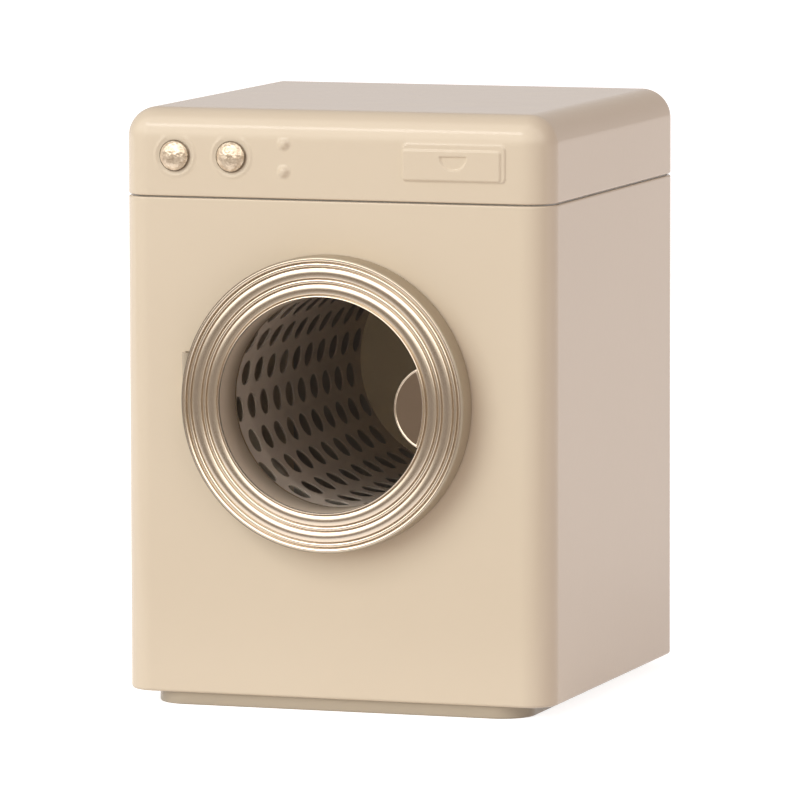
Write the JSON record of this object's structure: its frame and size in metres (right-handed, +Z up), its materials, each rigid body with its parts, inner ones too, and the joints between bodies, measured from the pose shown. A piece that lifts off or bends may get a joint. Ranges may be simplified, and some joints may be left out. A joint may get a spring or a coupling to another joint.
{
  "type": "toy washing machine",
  "caption": "Doll's-house front-loading washing machine in cream sheet metal, with a ribbed round door that opens, a perforated drum that spins and turning knobs.",
  "frame": {"origin": "centre of the cabinet's footprint, on the plinth's underside", "axes": "+Z up, -Y out of the door's side (the front), +X to the right seen from the front"},
  "size_m": [0.0826, 0.0869, 0.11],
  "materials": {
    "enamel": "semi-gloss cream enamel, softly rounded at the folds",
    "tinplate": "plain rolled tinplate",
    "hardware_steel": "zinc-plated",
    "champagne_metal": "satin champagne plating",
    "knob_metal": "hammered champagne metal",
    "drum_steel": "dull grey perforated sheet",
    "drum_back_paint": "dull brown-beige paint",
    "brass": "plain turned brass",
    "clear_plastic": "clear thin sheet",
    "ferrite": "dark sintered ferrite"
  },
  "bodies": {
    "cabinet": {"cabinet_shell": "enamel", "back_panel": "enamel", "base_plate": "tinplate", "plinth": "enamel", "lid": "enamel", "joint_band": "tinplate", "back_screws": "hardware_steel", "plinth_screws": "hardware_steel", "mouth_collar": "tinplate", "drum_bush": "brass", "hinge_bracket": "enamel", "hinge_pin": "hardware_steel", "hinge_rivets": "hardware_steel", "knob_washers": "hardware_steel"},
    "drum": {"drum_wall": "drum_steel", "drum_rim": "drum_steel", "drum_back": "drum_back_paint", "drum_axle": "hardware_steel", "axle_washer": "hardware_steel", "axle_clip": "hardware_steel"},
    "door": {"door_ring": "champagne_metal", "door_liner": "champagne_metal", "door_window": "clear_plastic", "window_retainer": "champagne_metal", "door_handle": "champagne_metal", "hinge_leaf": "champagne_metal", "door_magnet": "ferrite", "magnet_cup": "hardware_steel"},
    "knob_left_turn": {"knob_left": "knob_metal", "push_nut_left": "hardware_steel"},
    "knob_right_turn": {"knob_right": "knob_metal", "push_nut_right": "hardware_steel"}
  },
  "joints": [
    {"name": "door_hinge", "type": "hinge", "parent": "cabinet", "child": "door", "pos_m": [-0.0277, -0.0415, 0.059], "axis": [0, 0, -1], "range_deg": [0, 100]},
    {"name": "drum_spin", "type": "hinge", "parent": "cabinet", "child": "drum", "pos_m": [-0.00055, 0, 0.057], "axis": [0, -1, 0], "continuous": true},
    {"name": "knob_left_spin", "type": "hinge", "parent": "cabinet", "child": "knob_left_turn", "pos_m": [-0.03055, -0.0403, 0.10145], "axis": [0, -1, 0], "continuous": true},
    {"name": "knob_right_spin", "type": "hinge", "parent": "cabinet", "child": "knob_right_turn", "pos_m": [-0.0196, -0.0403, 0.10145], "axis": [0, -1, 0], "continuous": true}
  ]
}
